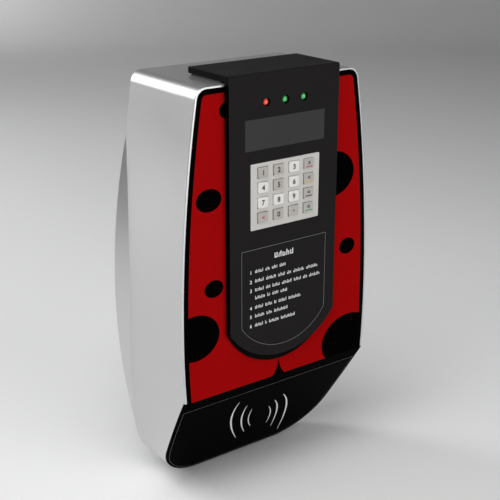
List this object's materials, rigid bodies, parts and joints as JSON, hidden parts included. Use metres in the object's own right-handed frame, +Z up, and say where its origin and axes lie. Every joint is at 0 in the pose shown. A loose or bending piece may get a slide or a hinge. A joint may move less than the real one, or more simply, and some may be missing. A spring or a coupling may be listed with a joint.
{
  "type": "ticket vending machine",
  "caption": "Wall-hung pay terminal with a barrel-shaped casing, drop-down door, hooded display, keypad, lamps, reader chin and a ticket outlet in its base.",
  "frame": {"origin": "middle of the four wall holes, on the wall's surface", "axes": "+Y into the wall, square to the back plate; +Z up; +X to the right of someone facing the machine"},
  "size_m": [0.315, 0.155, 0.562],
  "materials": {
    "brushed_casing": "fine satin brushing",
    "zinc_plate": "zinc-plated sheet",
    "screws": "bright plated",
    "black_rubber": "matt",
    "black_paint": "fine-textured satin powder coat",
    "red_paint": "satin print on sheet with darker red spots",
    "black_gloss": "polished",
    "display_pane": "smoked, polished",
    "dark_label": "printed film with a pale outline",
    "dark_plastic": "moulded",
    "red_lens": "clear-tinted lens",
    "green_lens": "clear-tinted lens",
    "keypad_metal": "satin",
    "keypad_keys": "satin with dark digits",
    "circuit_board": "solder-resist film",
    "lock_metal": "polished",
    "ticket_paper": "wound thermal paper",
    "brass_posts": "turned",
    "supply_case": "folded and perforated"
  },
  "bodies": {
    "casing": {"casing_shell": "brushed_casing", "back_plate": "zinc_plate", "corner_blocks": "zinc_plate", "back_plate_screws": "screws", "cable_grommet": "black_rubber", "chin_cover": "black_paint", "reader_window": "black_gloss", "reader_antenna": "circuit_board", "hinge_brackets": "zinc_plate", "hinge_pins": "screws", "lock_housing": "lock_metal", "lock_nut": "lock_metal", "roll_spindle": "dark_plastic", "roll_bracket": "zinc_plate", "printer_frame": "zinc_plate", "print_head": "zinc_plate", "ticket_chute": "dark_plastic", "controller_board": "circuit_board", "board_standoffs": "brass_posts", "power_supply": "supply_case"},
    "door": {"front_panel": "black_paint", "left_wing": "red_paint", "right_wing": "red_paint", "door_seal": "black_rubber", "hood_cover": "black_paint", "hood_screws": "screws", "lamp_red": "red_lens", "lamp_green_middle": "green_lens", "lamp_green_right": "green_lens", "lamp_board": "circuit_board", "display_window": "display_pane", "display_module": "dark_plastic", "instruction_label": "dark_label", "keypad_plate": "keypad_metal", "keypad_frame": "dark_plastic", "keypad_board": "circuit_board", "hinge_arms": "zinc_plate", "lock_striker": "zinc_plate"},
    "lock_barrel": {"lock_plug": "lock_metal", "lock_cam": "zinc_plate"},
    "roll": {"paper_roll": "ticket_paper"},
    "platen": {"platen_roller": "black_rubber", "platen_axle": "screws"},
    "key_1_cap": {"key_1": "keypad_keys"},
    "key_2_cap": {"key_2": "keypad_keys"},
    "key_3_cap": {"key_3": "keypad_keys"},
    "key_4_cap": {"key_4": "keypad_keys"},
    "key_5_cap": {"key_5": "keypad_keys"},
    "key_6_cap": {"key_6": "keypad_keys"},
    "key_7_cap": {"key_7": "keypad_keys"},
    "key_8_cap": {"key_8": "keypad_keys"},
    "key_9_cap": {"key_9": "keypad_keys"},
    "key_clear_cap": {"key_clear": "keypad_keys"},
    "key_0_cap": {"key_0": "keypad_keys"},
    "key_point_cap": {"key_point": "keypad_keys"},
    "key_function_1_cap": {"key_function_1": "keypad_keys"},
    "key_function_2_cap": {"key_function_2": "keypad_keys"},
    "key_function_3_cap": {"key_function_3": "keypad_keys"},
    "key_function_4_cap": {"key_function_4": "keypad_keys"}
  },
  "joints": [
    {"name": "door_hinge", "type": "hinge", "parent": "casing", "child": "door", "pos_m": [0, -0.1, -0.16], "axis": [1, 0, 0], "range_deg": [0, 70]},
    {"name": "lock_turn", "type": "hinge", "parent": "casing", "child": "lock_barrel", "pos_m": [0.13, -0.105, -0.0385], "axis": [1, 0, 0], "range_deg": [-90, 0]},
    {"name": "paper_roll_spin", "type": "hinge", "parent": "casing", "child": "roll", "pos_m": [0, -0.05715, -0.145], "axis": [1, 0, 0], "continuous": true},
    {"name": "platen_spin", "type": "hinge", "parent": "casing", "child": "platen", "pos_m": [0, -0.02945, -0.208], "axis": [1, 0, 0], "continuous": true},
    {"name": "key_1_press", "type": "slide", "parent": "door", "child": "key_1_cap", "axis": [0, 1, 0], "range_m": [0, 0.0012], "stiffness_N_per_m": 400},
    {"name": "key_2_press", "type": "slide", "parent": "door", "child": "key_2_cap", "axis": [0, 1, 0], "range_m": [0, 0.0012], "stiffness_N_per_m": 400},
    {"name": "key_3_press", "type": "slide", "parent": "door", "child": "key_3_cap", "axis": [0, 1, 0], "range_m": [0, 0.0012], "stiffness_N_per_m": 400},
    {"name": "key_4_press", "type": "slide", "parent": "door", "child": "key_4_cap", "axis": [0, 1, 0], "range_m": [0, 0.0012], "stiffness_N_per_m": 400},
    {"name": "key_5_press", "type": "slide", "parent": "door", "child": "key_5_cap", "axis": [0, 1, 0], "range_m": [0, 0.0012], "stiffness_N_per_m": 400},
    {"name": "key_6_press", "type": "slide", "parent": "door", "child": "key_6_cap", "axis": [0, 1, 0], "range_m": [0, 0.0012], "stiffness_N_per_m": 400},
    {"name": "key_7_press", "type": "slide", "parent": "door", "child": "key_7_cap", "axis": [0, 1, 0], "range_m": [0, 0.0012], "stiffness_N_per_m": 400},
    {"name": "key_8_press", "type": "slide", "parent": "door", "child": "key_8_cap", "axis": [0, 1, 0], "range_m": [0, 0.0012], "stiffness_N_per_m": 400},
    {"name": "key_9_press", "type": "slide", "parent": "door", "child": "key_9_cap", "axis": [0, 1, 0], "range_m": [0, 0.0012], "stiffness_N_per_m": 400},
    {"name": "key_clear_press", "type": "slide", "parent": "door", "child": "key_clear_cap", "axis": [0, 1, 0], "range_m": [0, 0.0012], "stiffness_N_per_m": 400},
    {"name": "key_0_press", "type": "slide", "parent": "door", "child": "key_0_cap", "axis": [0, 1, 0], "range_m": [0, 0.0012], "stiffness_N_per_m": 400},
    {"name": "key_point_press", "type": "slide", "parent": "door", "child": "key_point_cap", "axis": [0, 1, 0], "range_m": [0, 0.0012], "stiffness_N_per_m": 400},
    {"name": "key_function_1_press", "type": "slide", "parent": "door", "child": "key_function_1_cap", "axis": [0, 1, 0], "range_m": [0, 0.0012], "stiffness_N_per_m": 400},
    {"name": "key_function_2_press", "type": "slide", "parent": "door", "child": "key_function_2_cap", "axis": [0, 1, 0], "range_m": [0, 0.0012], "stiffness_N_per_m": 400},
    {"name": "key_function_3_press", "type": "slide", "parent": "door", "child": "key_function_3_cap", "axis": [0, 1, 0], "range_m": [0, 0.0012], "stiffness_N_per_m": 400},
    {"name": "key_function_4_press", "type": "slide", "parent": "door", "child": "key_function_4_cap", "axis": [0, 1, 0], "range_m": [0, 0.0012], "stiffness_N_per_m": 400}
  ],
  "couplings": [
    {"joint": "platen_spin", "follows": "paper_roll_spin", "ratio": 5}
  ]
}
